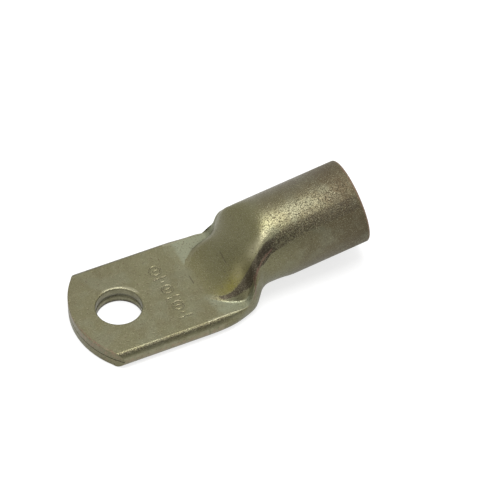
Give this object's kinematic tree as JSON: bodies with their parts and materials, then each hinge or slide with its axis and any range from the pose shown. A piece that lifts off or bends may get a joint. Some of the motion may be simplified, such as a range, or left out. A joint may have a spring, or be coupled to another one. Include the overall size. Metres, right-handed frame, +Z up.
{
  "type": "tubular cable lug",
  "caption": "Tinned copper tubular cable lug with a flat palm with a bolt hole, a domed neck and a round barrel for a stripped conductor.",
  "frame": {"origin": "centre of the bolt hole, on the underside of the palm", "axes": "+X from the bolt hole towards the barrel, along the lug; +Y across the palm; +Z up through the bolt hole, from the underside of the palm"},
  "size_m": [0.056, 0.0226, 0.0182],
  "materials": {
    "tinned_copper": "satin, plated, slightly mottled"
  },
  "bodies": {
    "root": {"cable_lug": "tinned_copper"}
  },
  "joints": []
}
